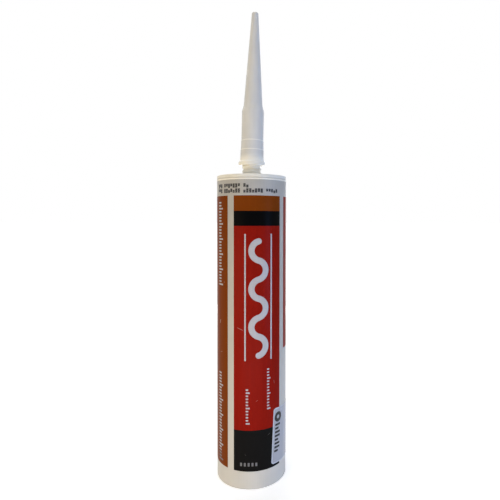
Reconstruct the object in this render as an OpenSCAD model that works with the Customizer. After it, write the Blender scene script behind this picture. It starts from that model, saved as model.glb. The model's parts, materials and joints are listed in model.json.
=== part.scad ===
// Construction adhesive cartridge, 310 ml, standing upright on its open foot.
// Origin at the centre of the foot, +Z up through the nozzle, the main printed panel facing -Y.
// Azimuths count in degrees from -Y towards +X.

/* [Barrel] */
// Outside diameter of the extruded tube
barrel_d = 49.8; // [48:0.1:52]
// Wall of the tube
barrel_wall = 1.5; // [1.2:0.1:2]
// Length of the tube, from its open foot to the head's rim
barrel_h = 211.7; // [190:0.1:225]
// Bevel on the cut foot of the tube
foot_bevel = 0.3; // [0.1:0.1:0.5]

/* [Head] */
// How far the head's rim stands proud of the tube all round
rim_proud = 0.2; // [0.1:0.05:0.6]
// Height of the rim
rim_h = 3.3; // [2.8:0.1:5]
// Width of the flat ring on top of the rim
rim_w = 4; // [3:0.1:6]
// Rounding of the rim's upper and lower edges
rim_round = 0.5; // [0.2:0.1:0.8]
// Depth of the dish inside the rim
dish_depth = 1.5; // [0.8:0.1:2]
// Slope of the dish's outer wall, as a width
dish_slope = 0.8; // [0.2:0.1:1.5]
// Thickness of the end wall under the dish
head_wall = 1.7; // [1.2:0.1:2.5]
// Length of the ring that locates the head inside the tube
spigot_h = 3; // [2:0.5:8]
// Wall of that ring
spigot_wall = 1.2; // [0.8:0.1:1.6]
// Gap between that ring and the tube
spigot_gap = 0.1; // [0.05:0.05:0.2]
// Height of the cone that carries the neck, above the dish
boss_h = 2.6; // [1:0.1:3.5]
// Width of that cone beyond the neck, at its foot
boss_spread = 5; // [2:0.1:6]
// Number of ribs in the dish, from the boss to the rim
rib_count = 12; // [6:1:18]
// Thickness of one rib
rib_w = 1; // [0.8:0.1:1.4]
// Depth of a rib's top edge under the rim's top
rib_drop = 0.5; // [0.3:0.1:0.7]

/* [Neck] */
// Diameter of the neck between its threads
neck_d = 12.3; // [11.5:0.1:12.8]
// Height of the neck above the rim
neck_h = 18; // [16:0.5:22]
// Bore of the neck
neck_bore_d = 9; // [7:0.1:9.8]
// Thickness of the seal moulded across the neck's end
seal_wall = 0.8; // [0.5:0.1:1.2]
// Bevel at the neck's end
neck_bevel = 0.6; // [0.3:0.1:0.8]
// Height of the thread above the neck
thread_depth = 0.75; // [0.6:0.05:0.85]
// Pitch of the thread
thread_pitch = 3; // [2.5:0.1:3.5]
// Width of the thread at its foot
thread_foot = 2.3; // [1.8:0.1:2.4]
// Width of the thread at its crest
thread_crest = 0.9; // [0.5:0.1:1.2]
// Where the thread starts above the rim
thread_start = 1.2; // [0.8:0.1:2]

/* [Nozzle] */
// Length of the nozzle
nozzle_l = 110.2; // [90:0.1:130]
// Gap left between the rim and the nozzle, which isn't screwed home
nozzle_raise = 8; // [6:0.1:12]
// Lean of the nozzle on its loose thread, towards +X
nozzle_lean = 1.2; // [0:0.1:1.4]
// Diameter of the flange at the nozzle's foot
flange_d = 19.4; // [18:0.1:22]
// Thickness of that flange
flange_h = 3.3; // [2.6:0.1:4]
// Diameter of the socket where it meets the flange
socket_foot_d = 17.6; // [16.8:0.1:17.8]
// Diameter of the socket's straight part
socket_d = 15.9; // [15.6:0.1:16.6]
// Length of the socket, flange included
socket_h = 39.2; // [30:0.1:48]
// Height at which the socket's first ring step lies
step_low = 11.4; // [9:0.1:13]
// Height at which its second ring step lies
step_high = 18; // [15:0.1:22]
// Height of the shoulder between socket and cone
shoulder_h = 4.2; // [3:0.1:6]
// Diameter of the cone at the shoulder
cone_d = 13.6; // [12.5:0.1:14.5]
// Diameter of the cone at the tip
tip_d = 4.6; // [4:0.1:6]
// Rounding of the closed tip
tip_round = 1.1; // [0.5:0.1:1.5]
// Radial play between the neck's thread and the socket's bore
nozzle_play = 0.35; // [0.3:0.05:0.5]
// Depth of the socket's bore
socket_bore_h = 20; // [19:0.5:24]
// Wall of the nozzle above that bore
nozzle_wall = 1.1; // [0.8:0.1:1.4]
// Thickness of the closed end at the tip
tip_wall = 2.5; // [1.5:0.5:5]

/* [Piston] */
// Height of the piston's foot above the tube's foot
piston_z = 15; // [8:0.5:25]
// Height of the piston
piston_h = 17; // [12:0.5:22]
// Gap between the piston's lips and the tube
lip_gap = 0.15; // [0.1:0.05:0.3]
// Depth of the skirt's waist between the lips
waist = 0.9; // [0.4:0.1:1.2]
// Height of each lip
lip_h = 2.6; // [2:0.1:4]
// Thickness of the piston's end wall
piston_top = 2; // [1.4:0.1:3]
// Wall of the piston's skirt at the waist
piston_wall = 1.4; // [1:0.1:2]
// Number of ribs inside the cup
piston_ribs = 8; // [4:1:12]
// Thickness of those ribs
piston_rib_w = 1.2; // [0.8:0.1:1.6]
// Height of those ribs
piston_rib_h = 5; // [3:0.5:7]
// Diameter of the ring that joins the ribs
piston_hub_d = 16; // [12:0.5:20]

/* [Print] */
// Thickness of the printed fields
ink = 0.08; // [0.07:0.01:0.09]
// Thickness of the marks printed over a field or on the sticker
over_ink = 0.05; // [0.04:0.01:0.06]
// Height of the foot of the printed panels
print_foot = 12.5; // [10:0.1:14]
// Blank band between the panels and the head's rim
print_margin = 11.35; // [10:0.05:20]
// Height of the brown band on the main panel
brown_band_h = 10.4; // [6:0.1:14]
// Height of the black band under it
black_band_h = 10.1; // [6:0.1:14]
// Height of the red field's foot
red_foot = 40.7; // [40:0.1:44]
// Azimuth of the main panel's middle
panel_az = 10.7; // [0:0.1:15]
// Angle that each panel covers
panel_angle = 80; // [76:0.5:82]
// Angle of the blank strip between panels
blank_angle = 12; // [10:0.5:14]
// Height of the side panel's foot
side_foot = 93; // [85:0.5:100]
// Width of the pinstripes
stripe_w = 1.2; // [0.8:0.1:1.6]
// Distance of a pinstripe from the panel's middle, as an angle
stripe_angle = 21.2; // [19:0.1:23]
// Height of the pinstripes' foot
stripe_foot = 88.4; // [87:0.1:92]
// Gap between the pinstripes' head and the black band
stripe_gap = 5.4; // [4:0.1:10]
// Width of the wavy bead
wave_w = 4.2; // [3:0.1:4.5]
// Centreline radius of the bead's bends
wave_r = 6.7; // [5.5:0.1:6.8]
// Half the angle of each bend
wave_angle = 75; // [60:1:78]
// Number of bends
wave_bends = 6; // [3:1:6]
// Height of the bead's lower end above the pinstripes' foot
wave_rise = 3.4; // [2.5:0.1:4]
// Pitch of the scale marks
mark_pitch = 2.1; // [1.8:0.1:2.4]
// Number of marks in the main panel's left row
left_marks = 12; // [4:1:14]
// Number of marks in its right row
right_marks = 14; // [4:1:16]
// Angle between the main panel's middle and each of its rows
row_angle = 17; // [14:0.5:18]
// Height of the left row above the red field's foot
left_row_rise = 4.3; // [3:0.1:8]
// Height of the right row above the red field's foot
right_row_rise = 13.3; // [10:0.1:16]
// Number of marks in the brown panel's upper row
upper_marks = 28; // [10:1:34]
// Number of marks in its lower row
lower_marks = 30; // [10:1:34]
// Angle between the brown panel's edge and the middle of its rows
side_row_angle = 17.5; // [10:0.5:20]
// Distance of those rows from the panel's head and foot
side_row_margin = 3; // [2:0.1:6]
// Height of one scale mark
mark_h = 1; // [0.7:0.1:1.2]
// Length of a scale mark on the main panel
mark_l = 2.6; // [1.8:0.1:3]
// Length of a scale mark on the brown panel
side_mark_l = 5.2; // [3:0.1:6]
// Number of dashes at the black foot
dash_count = 5; // [2:1:6]
// Width of one dash, as an angle
dash_angle = 3; // [2:0.5:3.5]
// Pitch of the dashes, as an angle
dash_pitch = 6; // [4:0.5:7]
// Height of one dash
dash_h = 2.4; // [1.6:0.1:3]
// Height of the dashes above the panel's foot
dash_rise = 3.6; // [2:0.1:5]
// Distance of the first dash from the panel's edge, as an angle
dash_margin = 11; // [6:0.5:14]
// Height of one block of the date code
code_h = 2.4; // [1.6:0.1:2.6]
// Width of one block of the date code
code_w = 1.3; // [0.8:0.1:1.5]
// Pitch of the blocks along a row
code_pitch = 1.95; // [1.7:0.05:2.1]
// Pitch of the two rows
code_row_pitch = 3.4; // [3:0.1:3.8]
// Height of the lower row above the panels
code_rise = 1.8; // [1:0.1:3]
// Azimuth at which both rows start
code_az = -67; // [-75:1:-60]

/* [Sticker] */
// Length of the side sticker, along the tube
sticker_l = 38.6; // [34:0.1:42]
// Width of the sticker, across its flat outline
sticker_w = 27; // [22:0.1:30]
// Thickness of the sticker
sticker_t = 0.07; // [0.06:0.01:0.1]
// Rounding of its corners
sticker_round = 2; // [1:0.1:4]
// Azimuth of its middle
sticker_az = 66; // [60:0.5:75]
// Height of its middle
sticker_z = 33; // [30:0.1:38]
// How far it is stuck out of square
sticker_turn = 3; // [0:0.5:4]
// Distance of the disc and bars from the sticker's middle
mark_column = 8.9; // [8:0.1:9.2]
// Diameter of the printed disc
disc_d = 7; // [5:0.1:7.4]
// Diameter of the hole in that disc
disc_hole_d = 2.6; // [1.5:0.1:3.5]
// Distance of the disc from the sticker's upper edge
disc_margin = 3; // [2:0.1:4]
// Length of the printed bars
bar_l = 5.2; // [3:0.1:6]
// Height of one printed bar
bar_h = 1.5; // [0.8:0.1:1.8]
// Number of printed bars
bar_count = 8; // [3:1:8]
// Pitch of the printed bars
bar_pitch = 2.6; // [2.2:0.1:2.7]

/* [Hidden] */
$fn = 96;
overlap = 1;
hair = 0.005;

// Tube and head
barrel_r = barrel_d / 2;
bore_r = barrel_r - barrel_wall;
rim_r = barrel_r + rim_proud;
top_z = barrel_h + rim_h;
dish_z = top_z - dish_depth;
dish_r = rim_r - rim_round - rim_w;
head_under_z = dish_z - head_wall;
spigot_z = barrel_h - spigot_h;
spigot_r = bore_r - spigot_gap;
spigot_in_r = spigot_r - spigot_wall;

// Neck
neck_r = neck_d / 2;
neck_z = top_z + neck_h;
thread_r = neck_r + thread_depth;
thread_turns = (neck_h - thread_start - neck_bevel - thread_foot) / thread_pitch;
thread_steps = 30;
thread_fade = 0.4;
blunt = 0.5;
thread_root = 0.25;

// Nozzle
nozzle_z = top_z + nozzle_raise;
socket_bore_r = thread_r + nozzle_play;
cone_foot_z = socket_h + shoulder_h;
step_drop = 0.15;
flange_round = 1.1;
flange_blend = 0.9;
taper_h = step_low * 0.6;
taper_w = 0.35;
shoulder_round = 0.6;
shoulder_blend = 0.5;
mouth_bevel = 0.5;
bore_step = 1;

// Piston
piston_r = bore_r - lip_gap;
piston_crown_z = piston_z + piston_h;
waist_r = piston_r - waist;
cup_r = waist_r - piston_wall;
hub_wall = 1.2;
lip_bevel = 1.4;

// Print
print_r = barrel_r + hair;
over_r = print_r + ink + hair;
print_top = barrel_h - print_margin;
black_band_z = print_top - brown_band_h - black_band_h;
brown_band_z = print_top - brown_band_h;
panel_from = panel_az - panel_angle / 2;
panel_to = panel_az + panel_angle / 2;
side_from = panel_to + blank_angle;
brown_to = panel_from - blank_angle;
stripe_top = black_band_z - stripe_gap;
upper_row_z = print_top - side_row_margin - upper_marks * mark_pitch;
stripe_reach = stripe_w / barrel_r * 90 / PI;
wrap_reach = 75;
short_mark = 0.62;
long_every = 5;
wave_foot = stripe_foot + wave_rise;
wave_chord = 2 * wave_r * sin(wave_angle);
wave_top = wave_foot + wave_bends * wave_chord;
wave_steps = 10;
code_counts = [25, 14];
code_group = 8;
code_gap = 3;

// Sticker
sticker_marks_r = over_r + sticker_t + hair;
short_bar = 0.7;
bar_group = 3;

// Points of an arc about [cx, cy], from one angle to another
function arc(cx, cy, r, from, to, steps = 6) =
    [for (i = [0:steps]) let (a = from + (to - from) * i / steps) [cx + r * cos(a), cy + r * sin(a)]];

// One corner of the thread's section at a step, faded in and out at its two ends
function thread_point(i, steps, r, dz) =
    let (turn = i / thread_steps,
         fade = min(1, turn / thread_fade, (steps - i) / thread_steps / thread_fade),
         radius = neck_r - thread_root + (r - neck_r + thread_root) * (blunt + (1 - blunt) * fade))
    [radius * cos(360 * turn), radius * sin(360 * turn), turn * thread_pitch + dz];

module thread() {
    steps = floor(thread_turns * thread_steps);
    points = [for (i = [0:steps]) each [
        thread_point(i, steps, neck_r - thread_root, -thread_foot / 2),
        thread_point(i, steps, thread_r, -thread_crest / 2),
        thread_point(i, steps, thread_r, thread_crest / 2),
        thread_point(i, steps, neck_r - thread_root, thread_foot / 2)]];
    sides = [for (i = [0:steps - 1], k = [0:3]) let (a = 4 * i, n = (k + 1) % 4) each [
        [a + k, a + n, a + 4 + n],
        [a + k, a + 4 + n, a + 4 + k]]];
    ends = [[3, 2, 1], [3, 1, 0], [4 * steps, 4 * steps + 1, 4 * steps + 2],
            [4 * steps, 4 * steps + 2, 4 * steps + 3]];
    polyhedron(points, concat(sides, ends), convexity = 10);
}

// A ring sector of the barrel's surface, between two azimuths and two heights
module field(from, to, low, high, r = print_r, t = ink) {
    rotate([0, 0, from - 90])
        rotate_extrude(angle = to - from)
            translate([r, low]) square([t, high - low]);
}

// A flat outline wrapped on the barrel: its x runs along the azimuth, its y up the tube
module wrap(az, low, high, r, t) {
    rotate([0, 0, az])
        intersection() {
            field(-wrap_reach, wrap_reach, low, high, r, t);
            rotate([90, 0, 0]) linear_extrude(barrel_r + overlap) children();
        }
}

module barrel_tube() {
    color("#e9e8e6")
        rotate_extrude()
            polygon([[bore_r, foot_bevel], [bore_r + foot_bevel, 0], [barrel_r - foot_bevel, 0],
                     [barrel_r, foot_bevel], [barrel_r, barrel_h], [bore_r, barrel_h]]);
}

module cartridge_head() {
    boss_r = neck_r + boss_spread;
    color("#efede8")
        difference() {
            union() {
                rotate_extrude()
                    polygon(concat(
                        [[0, head_under_z], [spigot_in_r, head_under_z], [spigot_in_r, spigot_z],
                         [spigot_r, spigot_z], [spigot_r, barrel_h]],
                        arc(rim_r - rim_round, barrel_h + rim_round, rim_round, -90, 0),
                        arc(rim_r - rim_round, top_z - rim_round, rim_round, 0, 90),
                        [[dish_r, top_z], [dish_r - dish_slope, dish_z], [boss_r, dish_z],
                         [neck_r, dish_z + boss_h], [neck_r, neck_z - neck_bevel],
                         [neck_r - neck_bevel, neck_z], [0, neck_z]]));
                for (i = [0:rib_count - 1]) rotate([0, 0, 360 * (i + 0.5) / rib_count]) dish_rib();
                translate([0, 0, top_z + thread_start + thread_foot / 2]) thread();
            }
            translate([0, 0, head_under_z - overlap])
                cylinder(h = neck_z - seal_wall - head_under_z + overlap, d = neck_bore_d);
        }
}

// One rib of the dish, running out from the boss's slope to the rim
module dish_rib() {
    translate([neck_r + boss_spread / 2, -rib_w / 2, dish_z - overlap])
        cube([dish_r - neck_r - boss_spread / 2, rib_w, dish_depth - rib_drop + overlap]);
}

module nozzle() {
    socket_r = socket_d / 2;
    foot_r = socket_foot_d / 2;
    flange_r = flange_d / 2;
    tip_r = tip_d / 2;
    outside = concat(
        arc(flange_r - flange_round, flange_round, flange_round, -80, 0),
        arc(flange_r - flange_round, flange_h - flange_round, flange_round, 0, 65),
        [[foot_r, flange_h + flange_blend], [foot_r - taper_w, taper_h],
         [socket_r + 3 * step_drop, step_low], [socket_r + 2 * step_drop, step_low + step_drop],
         [socket_r + step_drop, step_high], [socket_r, step_high + step_drop],
         [socket_r, socket_h - shoulder_round]],
        arc(socket_r - shoulder_round, socket_h - shoulder_round, shoulder_round, 10, 50, 3),
        [[cone_d / 2 + shoulder_blend * 0.3, cone_foot_z - shoulder_blend * 0.6],
         [cone_d / 2, cone_foot_z + shoulder_blend]],
        arc(tip_r - tip_round, nozzle_l - tip_round, tip_round, 0, 90));
    inside_foot = socket_r - nozzle_wall;
    bore = [[0, -overlap], [socket_bore_r + mouth_bevel, -overlap], [socket_bore_r + mouth_bevel, 0],
            [socket_bore_r, mouth_bevel], [socket_bore_r, socket_bore_h],
            [inside_foot, socket_bore_h + bore_step], [inside_foot, socket_h - nozzle_wall],
            [cone_d / 2 - nozzle_wall, cone_foot_z],
            [tip_r - nozzle_wall, nozzle_l - tip_wall], [0, nozzle_l - tip_wall]];
    color("#f1f0ec")
        translate([0, 0, nozzle_z]) rotate([0, nozzle_lean, 0])
            difference() {
                rotate_extrude() polygon(concat([[0, 0]], outside));
                rotate_extrude() polygon(bore);
            }
}

module piston() {
    color("#dcdad4")
        translate([0, 0, piston_z]) {
            rotate_extrude()
                polygon([[0, piston_h - piston_top], [cup_r, piston_h - piston_top], [cup_r, 0],
                         [piston_r - lip_bevel / 2, 0], [piston_r, lip_bevel], [piston_r, lip_h],
                         [waist_r, lip_h + waist], [waist_r, piston_h - lip_h - waist - lip_bevel],
                         [piston_r, piston_h - lip_h - lip_bevel], [piston_r, piston_h - lip_bevel],
                         [piston_r - lip_bevel, piston_h], [0, piston_h]]);
            piston_stiffening();
        }
}

// Ribs and ring under the piston's end wall
module piston_stiffening() {
    rib_z = piston_h - piston_top - piston_rib_h;
    hub_r = piston_hub_d / 2;
    for (i = [0:piston_ribs - 1])
        rotate([0, 0, 360 * i / piston_ribs])
            translate([hub_r - hub_wall / 2, -piston_rib_w / 2, rib_z])
                cube([cup_r - hub_r + hub_wall, piston_rib_w, piston_rib_h + overlap]);
    translate([0, 0, rib_z])
        difference() {
            cylinder(h = piston_rib_h + overlap, r = hub_r);
            translate([0, 0, -overlap]) cylinder(h = piston_rib_h + 3 * overlap, r = hub_r - hub_wall);
        }
}

module adhesive_fill() {
    color("#d9c8a6") {
        translate([0, 0, piston_crown_z]) cylinder(h = spigot_z - piston_crown_z, r = bore_r);
        translate([0, 0, spigot_z - hair]) cylinder(h = head_under_z - spigot_z + hair, r = spigot_in_r);
        translate([0, 0, head_under_z - hair])
            cylinder(h = neck_z - seal_wall - head_under_z + hair, d = neck_bore_d);
    }
}

module print_brown() {
    color("#8a4414") {
        field(brown_to - panel_angle, brown_to, print_foot, print_top);
        field(panel_from, panel_to, brown_band_z, print_top);
    }
}

module print_black() {
    color("#111113") {
        field(panel_from, panel_to, black_band_z, brown_band_z);
        field(panel_from, panel_to, print_foot, red_foot);
    }
}

module print_red() {
    color("#9a1d12") {
        field(panel_from, panel_to, red_foot, black_band_z);
        field(side_from, side_from + panel_angle, side_foot, print_top);
    }
}

// A row of scale marks up the tube, centred on an azimuth, with a longer one at each group's start
module scale_marks(az, low, count, l) {
    width = l / barrel_r * 180 / PI;
    for (i = [0:count - 1]) {
        z = low + i * mark_pitch;
        field(az - width / 2, az + width * ((i % long_every == 0 ? 1 : short_mark) - 0.5), z, z + mark_h,
              over_r, over_ink);
    }
}

// One edge of the wavy bead, at an offset from its centreline
function wave_edge(off) =
    [for (i = [0:wave_bends - 1], k = [(i == 0 ? 0 : 1):wave_steps])
        let (side = i % 2 == 0 ? 1 : -1,
             a = wave_angle * (2 * k / wave_steps - 1),
             r = wave_r + side * off)
        [side * (r * cos(a) - wave_r * cos(wave_angle)), (i + 0.5) * wave_chord + r * sin(a)]];

function reversed(list) = [for (i = [len(list) - 1:-1:0]) list[i]];

// The bead's outline, with round ends
module wave() {
    end_angle = wave_angle * (wave_bends % 2 == 0 ? -1 : 1);
    polygon(concat(
        arc(0, 0, wave_w / 2, 180 - wave_angle, 360 - wave_angle, wave_steps),
        wave_edge(wave_w / 2),
        arc(0, wave_bends * wave_chord, wave_w / 2, end_angle, end_angle + 180, wave_steps),
        reversed(wave_edge(-wave_w / 2))));
}

module print_white() {
    color("#e4e2e2") {
        for (az = [panel_az, side_from + panel_angle / 2])
            wrap(az, wave_foot - wave_w, wave_top + wave_w, over_r, over_ink)
                translate([0, wave_foot]) wave();
        for (az = [panel_az - stripe_angle, panel_az + stripe_angle])
            field(az - stripe_reach, az + stripe_reach, stripe_foot, stripe_top, over_r, over_ink);
        scale_marks(panel_az - row_angle, red_foot + left_row_rise, left_marks, mark_l);
        scale_marks(panel_az + row_angle, red_foot + right_row_rise, right_marks, mark_l);
        scale_marks(brown_to - side_row_angle, upper_row_z, upper_marks, side_mark_l);
        scale_marks(brown_to - side_row_angle, print_foot + side_row_margin, lower_marks, side_mark_l);
        for (i = [0:dash_count - 1]) {
            az = panel_from + dash_margin + i * dash_pitch;
            field(az, az + dash_angle, print_foot + dash_rise, print_foot + dash_rise + dash_h,
                  over_r, over_ink);
        }
    }
}

// Two rows of blocks in the blank band above the panels
module date_code() {
    step = code_pitch / barrel_r * 180 / PI;
    width = code_w / barrel_r * 180 / PI;
    color("#25262b")
        for (row = [0, 1], i = [0:code_counts[row] - 1]) {
            az = code_az + i * step;
            z = print_top + code_rise + row * code_row_pitch;
            if (i % code_group != code_gap) field(az, az + width, z, z + code_h);
        }
}

module side_sticker() {
    low = sticker_z - sticker_l;
    high = sticker_z + sticker_l;
    inner = [sticker_w, sticker_l] - 2 * [sticker_round, sticker_round];
    color("#d5d8e2", 0.9)
        wrap(sticker_az, low, high, over_r, sticker_t)
            translate([0, sticker_z]) rotate(-sticker_turn) {
                square([inner[0], sticker_l], center = true);
                square([sticker_w, inner[1]], center = true);
                for (x = [-1, 1], y = [-1, 1])
                    translate([x * inner[0] / 2, y * inner[1] / 2]) circle(r = sticker_round);
            }
}

// A disc and a row of bars, printed on the sticker
module sticker_marks() {
    low = sticker_z - sticker_l / 2;
    high = sticker_z + sticker_l / 2;
    disc_y = sticker_l / 2 - disc_d / 2 - disc_margin;
    color("#15161a")
        wrap(sticker_az, low, high, sticker_marks_r, over_ink)
            translate([0, sticker_z]) rotate(-sticker_turn) translate([-mark_column, 0]) {
                translate([0, disc_y])
                    difference() {
                        circle(d = disc_d);
                        circle(d = disc_hole_d);
                    }
                for (i = [0:bar_count - 1])
                    translate([-bar_l / 2, disc_y - disc_d / 2 - (i + 1) * bar_pitch])
                        square([bar_l * (i % bar_group == 1 ? short_bar : 1), bar_h]);
            }
}

barrel_tube();
cartridge_head();
nozzle();
piston();
adhesive_fill();
print_brown();
print_black();
print_red();
print_white();
date_code();
side_sticker();
sticker_marks();
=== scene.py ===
"""The looks of a construction adhesive cartridge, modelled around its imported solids."""

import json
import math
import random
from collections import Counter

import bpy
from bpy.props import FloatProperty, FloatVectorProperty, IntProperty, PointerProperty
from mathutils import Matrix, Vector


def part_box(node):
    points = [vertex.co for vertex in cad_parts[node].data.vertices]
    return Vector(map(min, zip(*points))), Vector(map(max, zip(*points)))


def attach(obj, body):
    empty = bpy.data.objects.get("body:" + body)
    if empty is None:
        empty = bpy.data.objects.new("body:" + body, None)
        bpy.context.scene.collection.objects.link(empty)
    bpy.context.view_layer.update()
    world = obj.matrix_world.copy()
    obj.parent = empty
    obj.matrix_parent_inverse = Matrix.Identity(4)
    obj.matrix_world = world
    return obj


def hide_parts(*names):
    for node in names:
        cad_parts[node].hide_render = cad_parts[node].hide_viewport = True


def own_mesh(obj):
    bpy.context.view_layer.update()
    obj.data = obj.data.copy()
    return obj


bl_info = {
    "name": "Adhesive Cartridge",
    "version": (1, 0, 0),
    "blender": (4, 5, 0),
    "location": "View3D > Sidebar > Cartridge",
    "description": "Builds a printed adhesive cartridge with its nozzle, its piston and a studio around it",
    "category": "Add Mesh",
}

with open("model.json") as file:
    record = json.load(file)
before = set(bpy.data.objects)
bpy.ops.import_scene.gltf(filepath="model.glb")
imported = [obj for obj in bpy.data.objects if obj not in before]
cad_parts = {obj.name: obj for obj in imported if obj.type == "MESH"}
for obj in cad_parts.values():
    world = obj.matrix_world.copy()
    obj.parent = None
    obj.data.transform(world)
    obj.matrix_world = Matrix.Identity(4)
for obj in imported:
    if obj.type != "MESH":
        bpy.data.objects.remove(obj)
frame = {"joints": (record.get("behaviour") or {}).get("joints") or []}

MM = 0.001
TURN = 2 * math.pi
FRONT = Vector((0, -1, 0))
# Vertices this near to each other become one
MERGE = 1e-7
# Slack in choosing vertices by their place
NEAR = 0.01 * MM
# Rounding of a crisp and of a softer moulded edge
CRISP = 0.1 * MM
SOFT = 0.3 * MM
# How far a rib is sunk into what carries it
SUNK = 0.5 * MM
# Edges that turn more than this stay sharp
SHARP = math.radians(32)
# How far a printed skin turns from one strip to the next, and the width of a strip of a flat piece
BAND_STEP = math.radians(1.5)
STRIP = 0.9 * MM
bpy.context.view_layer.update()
TUBE_LOW, TUBE_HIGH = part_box("barrel_tube")
HEAD_LOW, HEAD_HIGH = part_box("cartridge_head")
NOZZLE_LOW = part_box("nozzle")[0]
PISTON_LOW, PISTON_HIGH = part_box("piston")
FILL_LOW, FILL_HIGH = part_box("adhesive_fill")
BLACK_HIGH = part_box("print_black")[1]


# Properties

def length(name, description, mm):
    """A size, given in millimetres."""
    return FloatProperty(name=name, description=description, default=mm * MM, unit="LENGTH",
                         subtype="DISTANCE", precision=5)


def turn(name, description, degrees):
    """An angle, given in degrees."""
    return FloatProperty(name=name, description=description, default=math.radians(degrees),
                         unit="ROTATION", subtype="ANGLE")


def share(name, description, value):
    """A number from nothing to one."""
    return FloatProperty(name=name, description=description, default=value, min=0, max=1, subtype="FACTOR")


def count(name, description, value):
    """A number of like things."""
    return IntProperty(name=name, description=description, default=value, min=1)


def power(name, description, watts):
    """A lamp's power, given in watts."""
    return FloatProperty(name=name, description=description, default=watts, min=0, unit="POWER")


def colour(name, description, code):
    """A colour, given as the code that a screen shows."""
    return FloatVectorProperty(name=name, description=description, default=linear(code), subtype="COLOR",
                               size=3, min=0, max=1)


def linear(code):
    """The linear red, green and blue of a colour code such as #c8c4bc."""
    parts = [int(code[i:i + 2], 16) / 255 for i in (1, 3, 5)]
    return tuple(c / 12.92 if c <= 0.04045 else ((c + 0.055) / 1.055) ** 2.4 for c in parts)


class CartridgeBody(bpy.types.PropertyGroup):
    """Sizes of the tube, the head, the piston and the filling."""

    wall: length("Tube wall", "Thickness of the tube's wall", 1.5)
    foot_round: length("Foot rounding", "Rounding of the tube's cut foot", 0.3)
    smoothness: count("Segments", "Segments round the tube, the head and the piston", 240)
    rim_height: length("Rim height", "Height of the head's rim", 3.3)
    rim_width: length("Rim width", "Width of the flat ring on top of the rim", 4)
    rim_round: length("Rim rounding", "Rounding of the rim's edges", 0.35)
    lip_height: length("Lip height", "Height of the welded lip at the rim's foot", 1.15)
    lip_lap: length("Lip lap", "How far the lip laps over the tube's end", 0.45)
    lip_step: length("Lip step", "How far the lip stands proud of the rim's upper part", 0.18)
    groove: length("Groove", "Depth of the groove between the lip and the rim's upper part", 0.35)
    dish_depth: length("Dish depth", "Depth of the dish inside the rim", 1.5)
    dish_slope: length("Dish slope", "Width of the dish's outer slope", 0.8)
    head_wall: length("Head wall", "Thickness of the wall under the dish", 1.7)
    spigot_gap: length("Spigot gap", "Gap between the tube and the head's ring inside it", 0.1)
    spigot_wall: length("Spigot wall", "Wall of the ring that sits inside the tube", 1.2)
    boss_height: length("Boss height", "Height of the cone that carries the neck", 2.6)
    boss_spread: length("Boss spread", "Width of that cone beyond the neck", 5)
    boss_round: length("Boss rounding", "Rounding of that cone's two bends", 0.5)
    rib_count: count("Dish ribs", "Number of ribs in the dish", 12)
    rib_width: length("Rib width", "Thickness of one rib of the dish", 1)
    rib_drop: length("Rib drop", "Depth of a rib's top under the rim's top", 0.5)
    rib_gap: length("Rib gap", "Gap between a rib's end and the rim's flat ring", 0.2)
    rib_bevel: length("Rib bevel", "Bevel along a rib's top", 0.25)
    neck_diameter: length("Neck diameter", "Diameter of the neck between its threads", 12.3)
    neck_bore: length("Neck bore", "Bore of the neck", 9)
    neck_bevel: length("Neck bevel", "Bevel at the neck's end", 0.6)
    seal_wall: length("Seal", "Thickness of the seal across the neck's end", 0.8)
    thread_depth: length("Thread depth", "Height of the thread above the neck", 0.75)
    thread_pitch: length("Thread pitch", "Pitch of the thread", 3)
    thread_foot: length("Thread foot", "Width of the thread at its foot", 2.3)
    thread_crest: length("Thread crest", "Width of the thread at its crest", 0.9)
    thread_root: length("Thread root", "Depth to which the thread reaches into the neck", 0.3)
    thread_start: length("Thread start", "Where the thread starts above the rim", 1.2)
    piston_top: length("Piston top", "Thickness of the piston's end wall", 2)
    piston_wall: length("Piston wall", "Wall of the piston's skirt", 1.4)
    piston_lip: length("Piston lip", "Height of each lip of the piston", 2.6)
    piston_waist: length("Piston waist", "Depth of the waist between the piston's lips", 0.9)
    piston_bevel: length("Piston bevel", "Height of the slope that leads each lip in", 1.4)
    piston_ribs: count("Piston ribs", "Number of ribs inside the piston", 8)
    piston_rib_width: length("Piston rib width", "Thickness of those ribs", 1.2)
    piston_rib_height: length("Piston rib height", "Height of those ribs", 5)
    hub_diameter: length("Piston hub", "Diameter of the ring that joins the ribs", 16)
    fill_round: length("Filling rounding", "Rounding of the adhesive's edge at the piston", 1.5)
    fill_gap: length("Filling gap", "Gap between the adhesive and what holds it", 0.03)


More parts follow.
